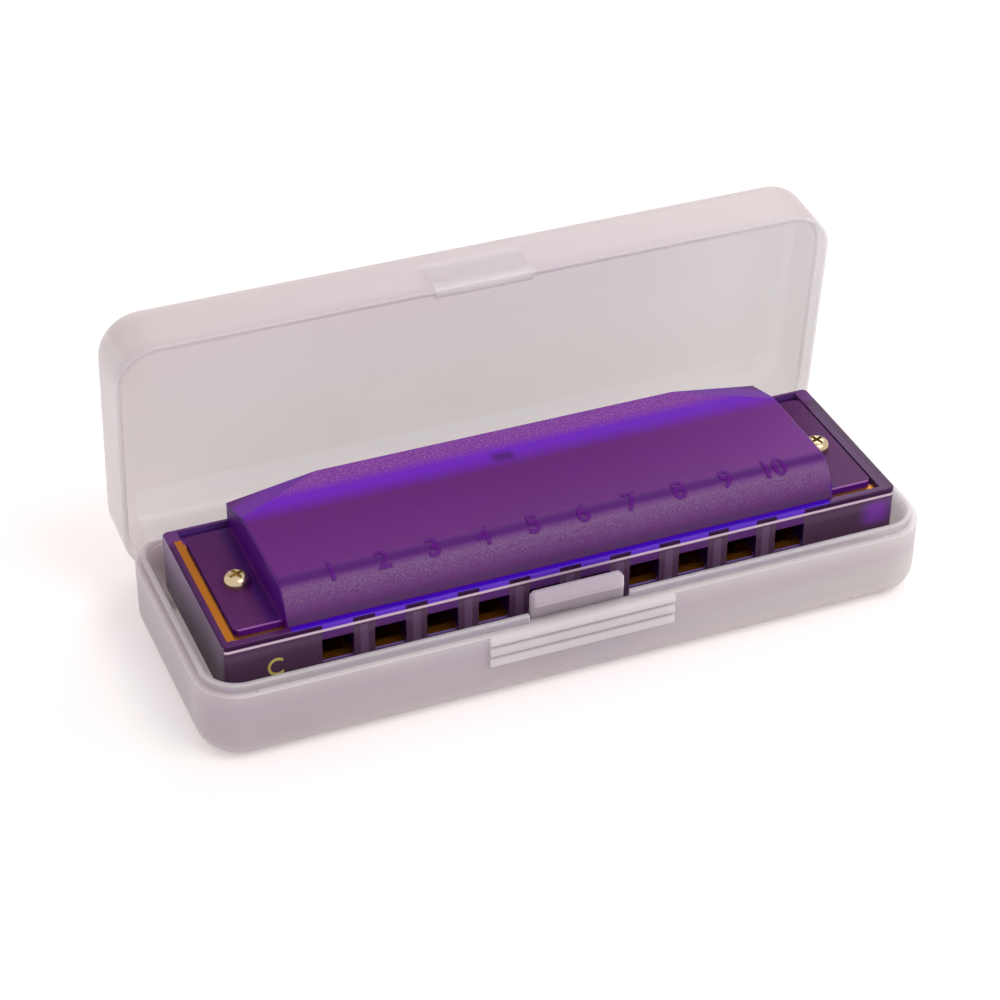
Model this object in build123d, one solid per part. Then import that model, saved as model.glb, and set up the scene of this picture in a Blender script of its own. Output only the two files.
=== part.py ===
from build123d import *
from math import hypot
import os

# Harmonica case with the harmonica in it. Millimetres, +Z up, front towards -Y.
# The base stands on z = 0 and its centre is the origin. The lid is drawn open.
# The holes set the size of the harmonica, and the harmonica sets the size of the case.

# Comb sizes
HOLES = 10
PITCH = 7.5
COMB_END = 2.55
COMB_D = 27.9
COMB_H = 9.0
COMB_CORNER_R = 0.9
COMB_EDGE_R = 0.25
HOLES_LEFT = 0.35
HOLE_W = 4.5
HOLE_H = 4.0
HOLE_DEPTH = 2.2
RECESS_SIDE = 2.1
RECESS_FRONT = 1.05
CELL_STEP = 3.5

# Reed plate and reed sizes
PLATE_T = 0.8
PLATE_SINK = 0.8
PLATE_PLAY = 0.1
REED_W = 2.2
REED_T = 0.2
REED_PLAY = 0.1
REED_LONG = 17.0
REED_SHORT = 11.5
PAD_L = 3.0
PAD_W = 3.0
PAD_END_GAP = 0.3
PAD_FRONT = 3.6
RIVET_R = 0.7
RIVET_HEAD_R = 0.95
RIVET_HEAD_H = 0.25
TIP_GAP = 0.25
TIP_WALL_GAP = 0.45

# Cover sizes
COVER_SIDE = 3.25
COVER_T = 1.0
COVER_RISE = 5.2
COVER_PLAY = 0.05
COVER_LEAN = 2.3
COVER_ROUND = 4.2
COVER_EDGE_R = 0.4
COVER_BACK = 0.75
ARCH_W = 13.25
ARCH_L = 7.15
ARCH_DROP = 2.1
FLANGE_T = 1.0
FLANGE_END = 3.63
FLANGE_FRONT = 1.5
FLANGE_BACK = 1.85
FLANGE_CORNER_R = 1.0
POST_X = 0.15
POST_BACK = 6.15
POST_R = 0.9

# Cover screw sizes
SCREW_OUT = 3.22
SCREW_BACK = 12.7
SCREW_R = 0.95
SCREW_PLAY = 0.07
HEAD_R = 1.85
HEAD_H = 1.6
HEAD_ROUND = 1.1
CROSS_W = 0.5
CROSS_L = 2.2
CROSS_DEPTH = 0.8
CROSS_TURN = 20
NUT_FLATS = 4.0
NUT_H = 1.2
NUT_PLAY = 0.02
SCREW_TAIL = 0.3

# Case sizes
END_ROOM = 2.15
HARP_RIGHT = 0.35
FRONT_ROOM = 4.0
REST_GAP = 0.1
FLOOR_T = 1.2
LIP_T = 0.7
LIP_H = 1.2
LIP_PLAY = 0.25
CORNER_R = 6.3
EDGE_R = 3.5
LEDGE_UP = 0.2
TICK_W = 0.5
TICK_H = 0.15
LEFT_TICK = 6.8
RIGHT_TICK = 7.7

# Lid sizes
RIM_GAP = 0.25
LID_ROOM = 0.8
LID_WALL = 1.2
SKIRT_T = 0.65
SKIRT_ROOM = 0.5
OPEN_ANGLE = 85.3

# Hinge sizes
AXIS_DROP = 3.0
OPEN_GAP = 0.18
ROUND_GAP = 0.3
HINGE_IN = 10.4
ARM_T = 3.0
ARM_FRONT_H = 4.0
ARM_H = 6.6
PIN_R = 0.8
PIN_PLAY = 0.05
EYE_WALL = 0.7
ARM_SIDE_GAP = 0.3
PIN_END_GAP = 0.2
SLOT_GAP = 0.35
SLOT_UNDER = 0.7
CHEEK_T = 1.5
CHEEK_WALL = 0.88
CHEEK_RISE = 2.0
HARP_GAP = 0.3

# Latch sizes
LATCH_LEFT = 0.47
TONGUE_W = 13.7
TONGUE_T = 0.8
BARB_OUT = 0.8
BARB_H = 1.9
BARB_IN = 0.35
BARB_ROOM = 0.45
FOOT_DROP = 3.6
FOOT_R = 0.6
FOOT_PIN_R = 0.45
FOOT_ROOM = 0.6
LATCH_CHEEK_T = 1.2
LATCH_CHEEK_GAP = 0.25
LATCH_CHEEK_H = 2.9
CATCH_H = 1.4
CATCH_PLAY = 0.35
CATCH_GAP = 0.2
CATCH_SIDE = 0.45
LIP_GAP_SIDE = 0.2
POCKET_W = 15.2
POCKET_ROOM = 1.9

# Thumb grip sizes
GRIP_W = 27.3
GRIP_R = 0.85
GRIP_OUT = 0.7
GRIP_PITCH = 1.75
GRIP_COUNT = 3

# Places across the harmonica, from its middle
COVER_X = HOLES * PITCH / 2 + COVER_SIDE
SCREW_X = COVER_X + SCREW_OUT
FLANGE_X = SCREW_X + FLANGE_END
COMB_W = 2 * (FLANGE_X + COMB_END)
RECESS_W = COMB_W - 2 * RECESS_SIDE
PLATE_W = RECESS_W - 2 * PLATE_PLAY

# Places along the harmonica, measured back from its mouth side
COVER_FRONT = RECESS_FRONT + COVER_PLAY
COVER_SHOULDER = COVER_FRONT + COVER_LEAN
COVER_REAR = COMB_D - COVER_BACK
RECESS_BACK = COVER_REAR + PLATE_PLAY
UPPER_PAD = HOLE_DEPTH + TIP_WALL_GAP + TIP_GAP + REED_LONG - PAD_L / 2
CELL_SHORT = UPPER_PAD + PAD_L / 2 + PAD_END_GAP - HOLE_DEPTH
CELL_LONG = CELL_SHORT + CELL_STEP

# Heights of the harmonica, from its middle
PLATE_OUT_Z = COMB_H / 2 - PLATE_SINK
PLATE_IN_Z = PLATE_OUT_Z - PLATE_T
FLANGE_OUT_Z = PLATE_OUT_Z + FLANGE_T
COVER_TOP_Z = COMB_H / 2 + COVER_RISE

# Hinge places inward from the back wall
RIM_OFF = AXIS_DROP + RIM_GAP
AXIS_IN = RIM_OFF - OPEN_GAP
EYE_R = PIN_R + EYE_WALL
CHEEK_REACH = PIN_R + PIN_PLAY + CHEEK_WALL
BACK_ROUND_R = hypot(AXIS_IN - SKIRT_T, RIM_OFF) - ROUND_GAP

# Case widths and heights
LEDGE_T = SKIRT_T + LIP_PLAY
WALL_T = LEDGE_T + LIP_T
CASE_W = COMB_W + 2 * (END_ROOM + WALL_T)
CASE_D = WALL_T + FRONT_ROOM + COMB_D + HARP_GAP + CHEEK_REACH + AXIS_IN
FRONT_Y = -CASE_D / 2
BACK_Y = CASE_D / 2
COMB_FRONT_Y = FRONT_Y + WALL_T + FRONT_ROOM
COMB_MID_Y = COMB_FRONT_Y + COMB_D / 2
SCREW_Y = COMB_FRONT_Y + SCREW_BACK
MID_Z = FLOOR_T + REST_GAP + COVER_TOP_Z
LEDGE_Z = MID_Z + LEDGE_UP
LIP_TOP_Z = LEDGE_Z + LIP_H
RIM_Z = LEDGE_Z + RIM_GAP
SKIRT_TOP_Z = RIM_Z + LIP_H + SKIRT_ROOM
CLOSED_H = MID_Z + COVER_TOP_Z + LID_ROOM + LID_WALL
AXIS_Y = BACK_Y - AXIS_IN
AXIS_Z = LEDGE_Z - AXIS_DROP
HINGE_X = CASE_W / 2 - HINGE_IN

# Latch places
TONGUE_Y = FRONT_Y + SKIRT_T + BARB_ROOM + BARB_OUT + TONGUE_T / 2
FOOT_Z = LEDGE_Z - FOOT_DROP
CATCH_IN_Y = TONGUE_Y - TONGUE_T / 2 - CATCH_GAP
CATCH_TOP_Z = RIM_Z + CATCH_H
BARB_BOTTOM_Z = CATCH_TOP_Z + CATCH_PLAY
TONGUE_TOP_Z = BARB_BOTTOM_Z + BARB_H
CATCH_W = TONGUE_W + 2 * CATCH_SIDE
LIP_GAP_W = CATCH_W + 2 * LIP_GAP_SIDE


def keep(shape, name):
    export_step(shape, "parts/" + name + ".step")


def rounded_block(inset, low, high):
    """A block with the plan of the case, drawn in by the inset."""
    width = CASE_W - 2 * inset
    depth = CASE_D - 2 * inset
    plan = RectangleRounded(width, depth, CORNER_R - inset)
    return extrude(Plane.XY.offset(low) * plan, high - low)


def block(x0, x1, y0, y1, z0, z1):
    """A box given by its two corners."""
    middle = Pos((x0 + x1) / 2, (y0 + y1) / 2, (z0 + z1) / 2)
    return middle * Box(x1 - x0, y1 - y0, z1 - z0)


def rod(radius, x0, x1, y, z):
    """A round bar along X."""
    return Pos((x0 + x1) / 2, y, z) * Rot(0, 90, 0) * Cylinder(radius, x1 - x0)


def side_plate(points, x0, x1):
    """A plate across X with the given outline in Y and Z."""
    face = Plane.YZ.offset(x0) * make_face(Polyline(*points, close=True))
    return extrude(face, x1 - x0)


def comb_y(back):
    """The Y of a place measured back from the mouth side of the comb."""
    return COMB_FRONT_Y + back


def hole_x(number):
    """The X of the middle of a hole, numbered from 1 at the left."""
    return (number - (HOLES + 1) / 2) * PITCH - HOLES_LEFT


def in_case(shape):
    """Moves a piece of the harmonica from its own middle to its place in the case."""
    return Pos(HARP_RIGHT, 0, MID_Z) * shape


def at_latch(shape):
    """Moves a piece that is drawn about x = 0 to the middle of the latch."""
    return Pos(-LATCH_LEFT, 0, 0) * shape


def taper(number, first, last):
    """A size that runs evenly from hole 1 to the last hole."""
    return first + (last - first) * (number - 1) / (HOLES - 1)


# Base tray
def tray_body():
    outer = rounded_block(0, 0, LEDGE_Z)
    outer = fillet(outer.edges().group_by(Axis.Z)[0], EDGE_R)
    lip = rounded_block(LEDGE_T, LEDGE_Z - LIP_H, LIP_TOP_Z)
    inner = rounded_block(WALL_T, FLOOR_T, LIP_TOP_Z + LIP_H)
    inner = fillet(inner.edges().group_by(Axis.Z)[0], EDGE_R - FLOOR_T)
    return outer + lip - inner


def back_trim():
    """What is taken off the top of the back wall so that the lid can turn round it."""
    region = block(-CASE_W, CASE_W, AXIS_Y, BACK_Y + WALL_T, AXIS_Z, LIP_TOP_Z + LIP_H)
    return region - rod(BACK_ROUND_R, -CASE_W, CASE_W, AXIS_Y, AXIS_Z)


def arm_slot(side):
    half = ARM_T / 2 + SLOT_GAP
    middle = side * HINGE_X
    inside = min(BACK_Y - WALL_T, AXIS_Y + EYE_R) - SLOT_GAP
    low = AXIS_Z - EYE_R - SLOT_UNDER
    return block(middle - half, middle + half, inside, BACK_Y + WALL_T, low, LIP_TOP_Z + LIP_H)


def cheek_inner_x():
    return ARM_T / 2 + ARM_SIDE_GAP


def hinge_cheek(side, way):
    near = side * HINGE_X + way * cheek_inner_x()
    far = near + way * CHEEK_T
    low = min(near, far)
    high = max(near, far)
    front = AXIS_Y - CHEEK_REACH
    cheek = block(low, high, front, BACK_Y - WALL_T / 2, FLOOR_T / 2, AXIS_Z + CHEEK_RISE)
    top_edges = cheek.edges().filter_by(Axis.X).group_by(Axis.Z)[-1].sort_by(Axis.Y)
    cheek = fillet(top_edges[0], CHEEK_REACH)
    return cheek - rod(PIN_R + PIN_PLAY, low - CHEEK_T, high + CHEEK_T, AXIS_Y, AXIS_Z)


def latch_cheek(side):
    near = side * (TONGUE_W / 2 + LATCH_CHEEK_GAP)
    far = near + side * LATCH_CHEEK_T
    low = min(near, far)
    high = max(near, far)
    inside = TONGUE_Y + FOOT_R + FOOT_ROOM
    half = LATCH_CHEEK_H / 2
    cheek = block(low, high, FRONT_Y + WALL_T / 2, inside, FOOT_Z - half, FOOT_Z + half)
    cheek -= rod(FOOT_PIN_R + PIN_PLAY, low - LATCH_CHEEK_T, high + LATCH_CHEEK_T, TONGUE_Y, FOOT_Z)
    return at_latch(cheek)


def thumb_grip():
    ribs = Part()
    for number in range(GRIP_COUNT):
        z = LEDGE_Z - GRIP_R - number * GRIP_PITCH
        ribs += rod(GRIP_R, -GRIP_W / 2, GRIP_W / 2, FRONT_Y - GRIP_OUT + GRIP_R, z)
    inside = block(-GRIP_W, GRIP_W, FRONT_Y + WALL_T / 3, FRONT_Y + CASE_D / 2, 0, CLOSED_H)
    return at_latch(ribs - inside)


def ledge_ticks():
    ticks = Part()
    front = FRONT_Y + LIP_PLAY
    back = FRONT_Y + LEDGE_T + LIP_T / 2
    for x in (-CASE_W / 2 + LEFT_TICK, CASE_W / 2 - RIGHT_TICK):
        ticks += block(x, x + TICK_W, front, back, LEDGE_Z - TICK_W, LEDGE_Z + TICK_H)
    return ticks


def base_tray():
    tray = tray_body() - back_trim()
    half = LIP_GAP_W / 2
    lip_gap = block(-half, half, FRONT_Y, COMB_FRONT_Y, LEDGE_Z, LIP_TOP_Z + LIP_H)
    tray = tray - at_latch(lip_gap) - arm_slot(-1) - arm_slot(1)
    for side in (-1, 1):
        tray += hinge_cheek(side, -1) + hinge_cheek(side, 1) + latch_cheek(side)
    return tray + thumb_grip() + ledge_ticks()


# Latch tongue
def barb_outline():
    """The hook on the outside of the tongue, with a slope that the lid slides over."""
    outside = TONGUE_Y - TONGUE_T / 2
    tip = outside - BARB_OUT
    return [
        (outside + TONGUE_T / 2, TONGUE_TOP_Z),
        (outside, TONGUE_TOP_Z),
        (tip, TONGUE_TOP_Z - BARB_H / 2),
        (tip, BARB_BOTTOM_Z),
        (outside + TONGUE_T / 2, BARB_BOTTOM_Z),
    ]


def tongue_plate():
    half = TONGUE_W / 2
    low = TONGUE_Y - TONGUE_T / 2
    plate = block(-half, half, low, low + TONGUE_T, FOOT_Z, TONGUE_TOP_Z)
    corners = plate.edges().filter_by(Axis.Y).group_by(Axis.Z)[-1]
    return fillet(corners, TONGUE_T)


def latch_tongue():
    half = TONGUE_W / 2
    barb = side_plate(barb_outline(), BARB_IN - half, half - BARB_IN)
    barb = fillet(barb.edges().filter_by(Axis.X).group_by(Axis.Y)[0], BARB_OUT / 3)
    top = block(-half, half, FRONT_Y, COMB_FRONT_Y, TONGUE_TOP_Z - TONGUE_T, TONGUE_TOP_Z)
    tongue = tongue_plate()
    tongue += barb - (top - tongue_top())
    tongue += rod(FOOT_R, -half, half, TONGUE_Y, FOOT_Z)
    reach = half + LATCH_CHEEK_GAP + LATCH_CHEEK_T - PIN_PLAY * 2
    return at_latch(tongue + rod(FOOT_PIN_R, -reach, reach, TONGUE_Y, FOOT_Z))


def tongue_top():
    """The room under the rounded top corners of the tongue."""
    half = TONGUE_W / 2
    room = block(-half, half, FRONT_Y, COMB_FRONT_Y, FOOT_Z, TONGUE_TOP_Z)
    return fillet(room.edges().filter_by(Axis.Y).group_by(Axis.Z)[-1], TONGUE_T)


# Lid, drawn closed and then turned open about the hinge
def lid_body():
    outer = rounded_block(0, RIM_Z, CLOSED_H)
    outer = fillet(outer.edges().group_by(Axis.Z)[-1], EDGE_R)
    inner = rounded_block(LID_WALL, RIM_Z - RIM_GAP, CLOSED_H - LID_WALL)
    inner = fillet(inner.edges().group_by(Axis.Z)[-1], EDGE_R - LID_WALL)
    rebate = rounded_block(SKIRT_T, RIM_Z - RIM_GAP, SKIRT_TOP_Z)
    return outer - inner - rebate


def catch_pocket():
    """The hollow in the lid's front wall that the barb swings into."""
    half = POCKET_W / 2
    top = TONGUE_TOP_Z + POCKET_ROOM
    return at_latch(block(-half, half, FRONT_Y + SKIRT_T, FRONT_Y + WALL_T, SKIRT_TOP_Z - RIM_GAP, top))


def catch_rib():
    half = CATCH_W / 2
    rib = block(-half, half, FRONT_Y + SKIRT_T / 2, CATCH_IN_Y, RIM_Z, CATCH_TOP_Z)
    low_edge = rib.edges().filter_by(Axis.X).group_by(Axis.Z)[0].sort_by(Axis.Y)[-1]
    return at_latch(chamfer(low_edge, CATCH_H / 3))


def arm_outline():
    wall_in = BACK_Y - LID_WALL / 2
    return [
        (AXIS_Y - EYE_R, AXIS_Z),
        (AXIS_Y - EYE_R, AXIS_Z + ARM_FRONT_H),
        (AXIS_Y + EYE_R / 3, AXIS_Z + ARM_H),
        (wall_in, AXIS_Z + ARM_H),
        (wall_in, RIM_Z),
        (AXIS_Y + EYE_R, RIM_Z),
        (AXIS_Y + EYE_R, AXIS_Z),
    ]


def lid_arm(side):
    low = side * HINGE_X - ARM_T / 2
    high = low + ARM_T
    arm = side_plate(arm_outline(), low, high)
    arm += rod(EYE_R, low, high, AXIS_Y, AXIS_Z)
    reach = ARM_SIDE_GAP + CHEEK_T - PIN_END_GAP
    return arm + rod(PIN_R, low - reach, high + reach, AXIS_Y, AXIS_Z)


def turned_open(shape):
    hinge = Axis((0, AXIS_Y, AXIS_Z), (1, 0, 0))
    return shape.rotate(hinge, -OPEN_ANGLE)


def lid_shell():
    lid = lid_body() - catch_pocket() + catch_rib()
    lid = lid + lid_arm(-1) + lid_arm(1)
    return turned_open(lid)


# Comb
def cell(number):
    low = hole_x(number) - HOLE_W / 2
    high = low + HOLE_W
    length = taper(number, CELL_LONG, CELL_SHORT)
    mouth = block(low, high, comb_y(-HOLE_DEPTH), comb_y(length), -HOLE_H / 2, HOLE_H / 2)
    room = block(low, high, comb_y(HOLE_DEPTH), comb_y(HOLE_DEPTH + length), -COMB_H, COMB_H)
    return mouth + room


def screw_hole(side):
    return Pos(side * SCREW_X, SCREW_Y, 0) * Cylinder(SCREW_R + SCREW_PLAY, COMB_H * 2)


def comb_block():
    body = Pos(0, COMB_MID_Y, 0) * Box(COMB_W, COMB_D, COMB_H)
    body = fillet(body.edges().filter_by(Axis.Z), COMB_CORNER_R)
    rims = body.edges().group_by(Axis.Z)
    return fillet(rims[0] + rims[-1], COMB_EDGE_R)


def comb():
    body = comb_block()
    for way in (-1, 1):
        low = min(way * PLATE_IN_Z, way * COMB_H)
        high = max(way * PLATE_IN_Z, way * COMB_H)
        body -= block(-RECESS_W / 2, RECESS_W / 2, comb_y(RECESS_FRONT), comb_y(RECESS_BACK), low, high)
    for number in range(1, HOLES + 1):
        body -= cell(number)
    for side in (-1, 1):
        body -= screw_hole(side)
    return in_case(body)


# Reed plates. The reeds of both plates lie on the lower side.
def reed_length(number):
    return taper(number, REED_LONG, REED_SHORT)


def pad_y(upper):
    """The Y of the rivet: upper reeds are fixed at the back, lower reeds at the front."""
    if upper:
        return comb_y(UPPER_PAD)
    return comb_y(PAD_FRONT)


def reed_way(upper):
    return -1 if upper else 1


def reed_y(number, upper):
    """The two ends of a reed's free tongue, from the pad to the tip."""
    start = pad_y(upper) + reed_way(upper) * PAD_L / 2
    return start, start + reed_way(upper) * (reed_length(number) - PAD_L)


def reed_plate(upper):
    low = PLATE_IN_Z if upper else -PLATE_OUT_Z
    front = comb_y(RECESS_FRONT + PLATE_PLAY)
    back = comb_y(RECESS_BACK - PLATE_PLAY)
    plate = block(-PLATE_W / 2, PLATE_W / 2, front, back, low, low + PLATE_T)
    for number in range(1, HOLES + 1):
        x = hole_x(number)
        start, tip = reed_y(number, upper)
        end = tip + reed_way(upper) * TIP_GAP
        half = REED_W / 2 + REED_PLAY
        near = min(start, end)
        far = max(start, end)
        plate -= block(x - half, x + half, near, far, low - PLATE_T, low + 2 * PLATE_T)
        plate -= Pos(x, pad_y(upper), low) * Cylinder(RIVET_R, PLATE_T * 4)
    for side in (-1, 1):
        plate -= screw_hole(side)
    return in_case(plate)


def reed(number, upper):
    x = hole_x(number)
    top = PLATE_IN_Z if upper else -PLATE_OUT_Z
    start, tip = reed_y(number, upper)
    pad = pad_y(upper)
    shape = block(x - PAD_W / 2, x + PAD_W / 2, pad - PAD_L / 2, pad + PAD_L / 2, top - REED_T, top)
    root = start - reed_way(upper) * PAD_L / 6
    shape += block(x - REED_W / 2, x + REED_W / 2, min(root, tip), max(root, tip), top - REED_T, top)
    shape -= Pos(x, pad, top) * Cylinder(RIVET_R, PLATE_T * 4)
    return in_case(shape)


def rivets(upper):
    low = PLATE_IN_Z if upper else -PLATE_OUT_Z
    group = []
    for number in range(1, HOLES + 1):
        head_low = low - REED_T - RIVET_HEAD_H
        top = low + PLATE_T
        stem = Cylinder(RIVET_R, top - head_low, align=(Align.CENTER, Align.CENTER, Align.MIN))
        head = Cylinder(RIVET_HEAD_R, RIVET_HEAD_H, align=(Align.CENTER, Align.CENTER, Align.MIN))
        one = Pos(hole_x(number), pad_y(upper), head_low) * (stem + head)
        group.append(in_case(one))
    return Compound(children=group)


# Covers, drawn above the middle of the comb
def cover_solid(inset, half, floor, rear):
    """The space under a cover, drawn in by the inset at the front and top."""
    front = comb_y(COVER_FRONT) + inset
    shoulder = comb_y(COVER_SHOULDER) + inset
    top = COVER_TOP_Z - inset
    points = [(front, floor), (front, COMB_H / 2), (shoulder, top), (rear, top), (rear, floor)]
    body = side_plate(points, -half, half)
    shoulder_edge = body.edges().filter_by(Axis.X).group_by(Axis.Z)[-1].sort_by(Axis.Y)[0]
    return fillet(shoulder_edge, COVER_ROUND - inset)


def outer_cover(rear):
    """The outside of a cover, with its upper side edges rounded."""
    body = cover_solid(0, COVER_X, PLATE_OUT_Z, rear)
    edges = []
    for edge in body.edges():
        middle = edge.center()
        on_side = abs(middle.X) > COVER_X - COVER_T / 2
        if on_side and middle.Z > COMB_H / 2 + COVER_EDGE_R and middle.Y < rear - COVER_T:
            edges.append(edge)
    return fillet(edges, COVER_EDGE_R)


def arch_cut(side, inset):
    """A slanted cut from the side of the cover's top down to the ends of its rear edge."""
    top = COVER_TOP_Z - inset
    rear = comb_y(COVER_REAR)
    a = Vector(side * (COVER_X - ARCH_W), rear, top)
    b = Vector(side * COVER_X, rear - ARCH_L, top)
    c = Vector(side * COVER_X, rear, top - ARCH_DROP)
    normal = (b - a).cross(c - a).normalized()
    if normal.Z < 0:
        normal = normal * -1
    cut_plane = Plane(origin=(b + a) * 0.5, z_dir=normal)
    reach = COVER_X * 2
    return cut_plane * Box(reach, reach, COVER_RISE * 4, align=(Align.CENTER, Align.CENTER, Align.MIN))


def flange(side):
    near = side * (COVER_X - COVER_T / 2)
    far = side * FLANGE_X
    front = comb_y(COVER_FRONT + FLANGE_FRONT)
    back = comb_y(COVER_REAR - FLANGE_BACK)
    plate = block(min(near, far), max(near, far), front, back, PLATE_OUT_Z, FLANGE_OUT_Z)
    corners = plate.edges().filter_by(Axis.Z).sort_by(Axis.X)
    outer = corners[-2:] if side > 0 else corners[:2]
    return fillet(outer, FLANGE_CORNER_R)


def cover():
    rear = comb_y(COVER_REAR)
    shell = outer_cover(rear)
    room = cover_solid(COVER_T, COVER_X - COVER_T, PLATE_OUT_Z - COVER_T, rear + COVER_T)
    for side in (-1, 1):
        shell -= arch_cut(side, 0)
        room -= arch_cut(side, COVER_T)
    shell -= room
    for side in (-1, 1):
        shell += flange(side)
        shell -= screw_hole(side)
    roof = COVER_TOP_Z - COVER_T / 2
    post = Cylinder(POST_R, roof - PLATE_OUT_Z)
    return shell + Pos(POST_X, rear - POST_BACK, (PLATE_OUT_Z + roof) / 2) * post


def upper_cover():
    return in_case(cover())


def lower_cover():
    return in_case(cover().mirror(Plane.XY))


# Cover screws and nuts
def cross_recess():
    one = Box(CROSS_L, CROSS_W, CROSS_DEPTH * 2)
    return one + Rot(0, 0, 90) * one


def screw(side):
    seat = FLANGE_OUT_Z
    tail = -FLANGE_OUT_Z - NUT_H - SCREW_TAIL
    shank = Cylinder(SCREW_R, seat - tail + HEAD_H / 4, align=(Align.CENTER, Align.CENTER, Align.MIN))
    head = Cylinder(HEAD_R, HEAD_H, align=(Align.CENTER, Align.CENTER, Align.MIN))
    head = fillet(head.edges().group_by(Axis.Z)[-1], HEAD_ROUND)
    shape = Pos(0, 0, tail) * shank + Pos(0, 0, seat) * head
    shape -= Pos(0, 0, seat + HEAD_H) * Rot(0, 0, CROSS_TURN) * cross_recess()
    return in_case(Pos(side * SCREW_X, SCREW_Y, 0) * shape)


def nut(side):
    outline = RegularPolygon(NUT_FLATS / 2, 6, major_radius=False)
    shape = extrude(outline, NUT_H) - Cylinder(SCREW_R + NUT_PLAY, NUT_H * 3)
    return in_case(Pos(side * SCREW_X, SCREW_Y, -FLANGE_OUT_Z - NUT_H) * shape)


def keep_all():
    keep(base_tray(), "base_tray")
    keep(latch_tongue(), "latch_tongue")
    keep(lid_shell(), "lid_shell")
    keep(comb(), "comb")
    keep(upper_cover(), "upper_cover")
    keep(lower_cover(), "lower_cover")
    keep(reed_plate(True), "upper_reed_plate")
    keep(reed_plate(False), "lower_reed_plate")
    keep(rivets(True), "upper_rivets")
    keep(rivets(False), "lower_rivets")
    for number in range(1, HOLES + 1):
        keep(reed(number, True), "blow_reed_" + str(number))
        keep(reed(number, False), "draw_reed_" + str(number))
    for side, word in ((-1, "left"), (1, "right")):
        keep(screw(side), "cover_screw_" + word)
        keep(nut(side), "cover_nut_" + word)


os.makedirs("parts", exist_ok=True)
keep_all()
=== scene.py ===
import math

import bmesh
import bpy
from mathutils import Matrix, Vector


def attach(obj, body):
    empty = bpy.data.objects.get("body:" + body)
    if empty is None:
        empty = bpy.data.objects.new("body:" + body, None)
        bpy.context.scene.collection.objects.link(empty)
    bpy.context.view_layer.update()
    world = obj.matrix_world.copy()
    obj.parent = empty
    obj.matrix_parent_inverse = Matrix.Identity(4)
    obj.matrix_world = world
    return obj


bl_info = {
    "name": "Harmonica case",
    "version": (1, 0, 0),
    "blender": (4, 5, 0),
    "location": "View3D > Sidebar > Harmonica case",
    "description": "Dresses the harmonica case and the harmonica in it",
    "category": "Object",
}

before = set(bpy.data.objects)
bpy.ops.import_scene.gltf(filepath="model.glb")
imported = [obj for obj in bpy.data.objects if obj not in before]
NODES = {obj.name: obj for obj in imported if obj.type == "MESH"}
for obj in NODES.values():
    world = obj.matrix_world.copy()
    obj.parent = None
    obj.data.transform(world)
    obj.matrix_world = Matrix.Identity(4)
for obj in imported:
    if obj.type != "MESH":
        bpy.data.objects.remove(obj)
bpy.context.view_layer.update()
MM = 0.001

REEDS = [name for name in NODES if "_reed_" in name and "plate" not in name]

# The camera that the photograph was taken with, in metres and degrees
CAMERA_AT = (-0.1252, -0.2883, 0.2396)
CAMERA_AZIMUTH = 22.37
CAMERA_ELEVATION = 35.4
CAMERA_ROLL = 0.44
CAMERA_LENS = 99.0
CAMERA_SENSOR = 36.0
CAMERA_SHIFT = (0.0115, 0.0064)
CAMERA_NEAR = 0.01

# The upper cover's front, measured from the comb's front edge and mid height
COMB_FRONT_Y = -13.7
COVER_MID_Z = 11.0
COVER_FOOT = (1.1, 4.5)
COVER_SHOULDER = (3.4, 9.7)
COVER_ROUND = 4.2

# Plastics and metals. Clouds say how deep and how pale a colour gets, a cast what it turns to in
# patches, and ground brass how much paler than rolled brass it is, all as parts of the colour.
PLASTIC_IOR = 1.49
PLASTIC_CLOUDS = (0.92, 1.08)
METAL_CLOUDS = (0.8, 1.1)
GRAIN_DEPTH = 0.05 * MM
SCRATCH_DEPTH = 0.02 * MM
SCRATCH_STRENGTH = 0.15
SOAK_DEPTH = 9.0 * MM
SOAK_RADIUS = (0.95, 0.95, 0.95)
LID_CAST = 0.985
TRAY_CAST = (0.95, 1.0, 1.09)
TONGUE_CAST = 1.08
GROUND_BRASS = 1.15

# Words: a capital's height as a part of the letter size, and how they are shaped and set
HOLES = 10
CAPITAL_HEIGHT = 0.72
GLYPH_BEVEL = 0.03 * MM
NUMBER_WEIGHT = 0.07 * MM
BEND_STEP = 0.2 * MM
FOIL_RISE = 0.02 * MM
LETTER_WIDTH = 0.88
LETTER_PLACE = (-42.6, COMB_FRONT_Y - 0.03, 10.35)

# The thumb grip's ribs, in millimetres: the middle of the top one, their pitch and half height;
# the crests take painted light
GRIP_TOP = 10.45
GRIP_PITCH = 1.75
GRIP_HALF = 0.72
GRIP_SOFT = 0.3
GRIP_RIBS = 3
GRIP_CREST_LIGHT = (0.96, 0.85, 0.855)

# From the middle of one mouth to the middle of the bar beside it
HALF_MOUTH_PITCH = 3.75 * MM

# Scales of the grain that breaks up a colour
GRAINS = {"patches": 40.0, "front grain": 5600.0, "rear grain": 3000.0}

# Measures that a band can be set on. These six come straight from a point on the object: its
# place, in millimetres, and the direction that its surface faces, in parts of 1. Beside them,
# mirrored is across from the middle either way, endways is sideways either way, and in_pitch runs
# from 0 at a bar to 3.75 at a mouth, in millimetres too. The grains run from 0 to 1.
STRAIGHT = {
    "across": ("Object", 0),
    "along": ("Object", 1),
    "up": ("Object", 2),
    "sideways": ("Normal", 0),
    "forwards": ("Normal", 1),
    "upwards": ("Normal", 2),
}
LENGTHS = ("across", "along", "up", "mirrored", "in_pitch")

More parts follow.
